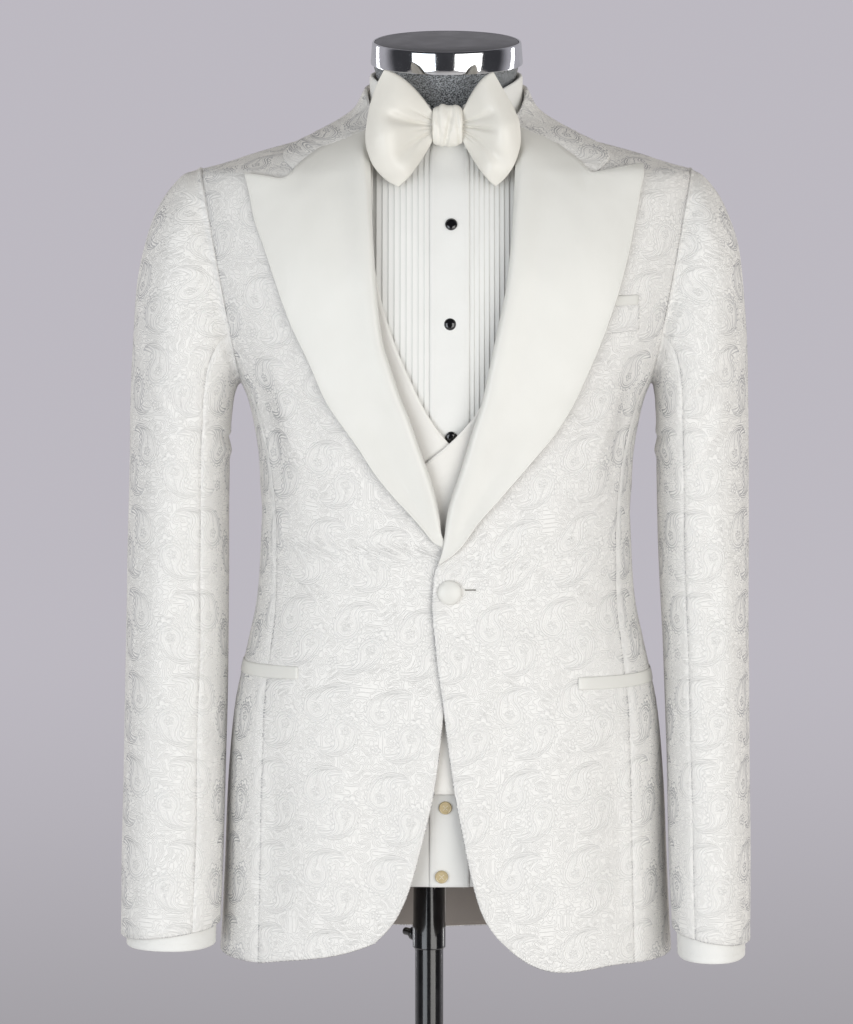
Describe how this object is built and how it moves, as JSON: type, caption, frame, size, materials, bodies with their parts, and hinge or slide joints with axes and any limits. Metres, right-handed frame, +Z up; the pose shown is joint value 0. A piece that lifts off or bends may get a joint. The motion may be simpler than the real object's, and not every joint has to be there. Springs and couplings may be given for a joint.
{
  "type": "tuxedo with waistcoat, shirt and bow tie, on a limbless dress form and its pole stand",
  "caption": "Ivory paisley jacquard dinner jacket with satin peak lapels, waistcoat, pleated dress shirt and bow tie, worn by a limbless dress form on a pole stand.",
  "frame": {"origin": "on the floor, in the plane of the torso's middle, on the flat underside of the stand's base", "axes": "+Z up along the pole, the chest faces -Y, and the wearer's left side is at +X"},
  "size_m": [0.542, 0.37, 1.6167],
  "materials": {
    "jacquard": "ivory paisley jacquard, matte ground with a slightly glossy raised figure",
    "satin": "ivory duchesse satin with a broad soft sheen",
    "waistcoat_cloth": "cream plain-woven wool, matte",
    "shirt_cotton": "white cotton poplin, matte",
    "stud_stone": "black onyx-like, glossy",
    "shirt_button_pearl": "cream pearl plastic",
    "form_cloth": "grey speckled woven cover",
    "cap_chrome": "polished chrome",
    "cap_steel": "satin grey metal",
    "stand_black": "gloss black enamel"
  },
  "bodies": {
    "stand": {"stand_base": "stand_black", "stand_pole": "stand_black"},
    "form": {"jacket_front_right": "jacquard", "jacket_front_left": "jacquard", "jacket_side_right": "jacquard", "jacket_side_left": "jacquard", "jacket_back_right": "jacquard", "jacket_back_left": "jacquard", "upper_sleeve_right": "jacquard", "upper_sleeve_left": "jacquard", "under_sleeve_right": "jacquard", "under_sleeve_left": "jacquard", "lapel_right": "satin", "lapel_left": "satin", "hip_pocket_jet_right": "satin", "hip_pocket_jet_left": "satin", "waistcoat_front_right": "waistcoat_cloth", "waistcoat_front_left": "waistcoat_cloth", "shirt_front_right": "shirt_cotton", "shirt_front_left": "shirt_cotton", "shirt_sleeve_right": "shirt_cotton", "shirt_sleeve_left": "shirt_cotton", "shirt_cuff_right": "shirt_cotton", "shirt_cuff_left": "shirt_cotton", "bow_wing_right": "satin", "bow_wing_left": "satin", "jacket_collar": "jacquard", "breast_welt": "jacquard", "breast_welt_trim": "satin", "jacket_button": "satin", "waistcoat_back": "waistcoat_cloth", "shirt_back": "shirt_cotton", "shirt_placket": "shirt_cotton", "shirt_collar": "shirt_cotton", "bow_knot": "satin", "bow_band": "satin", "shirt_stud_1": "stud_stone", "shirt_stud_2": "stud_stone", "shirt_stud_3": "stud_stone", "shirt_button_1": "shirt_button_pearl", "shirt_button_2": "shirt_button_pearl", "form_torso": "form_cloth", "form_cap_rim": "cap_chrome", "form_cap_disc": "cap_steel", "form_socket": "stand_black", "clamp_screw": "stand_black"}
  },
  "joints": [
    {"name": "height_slide", "type": "slide", "parent": "stand", "child": "form", "axis": [0, 0, 1], "range_m": [-0.06, 0.1]}
  ]
}
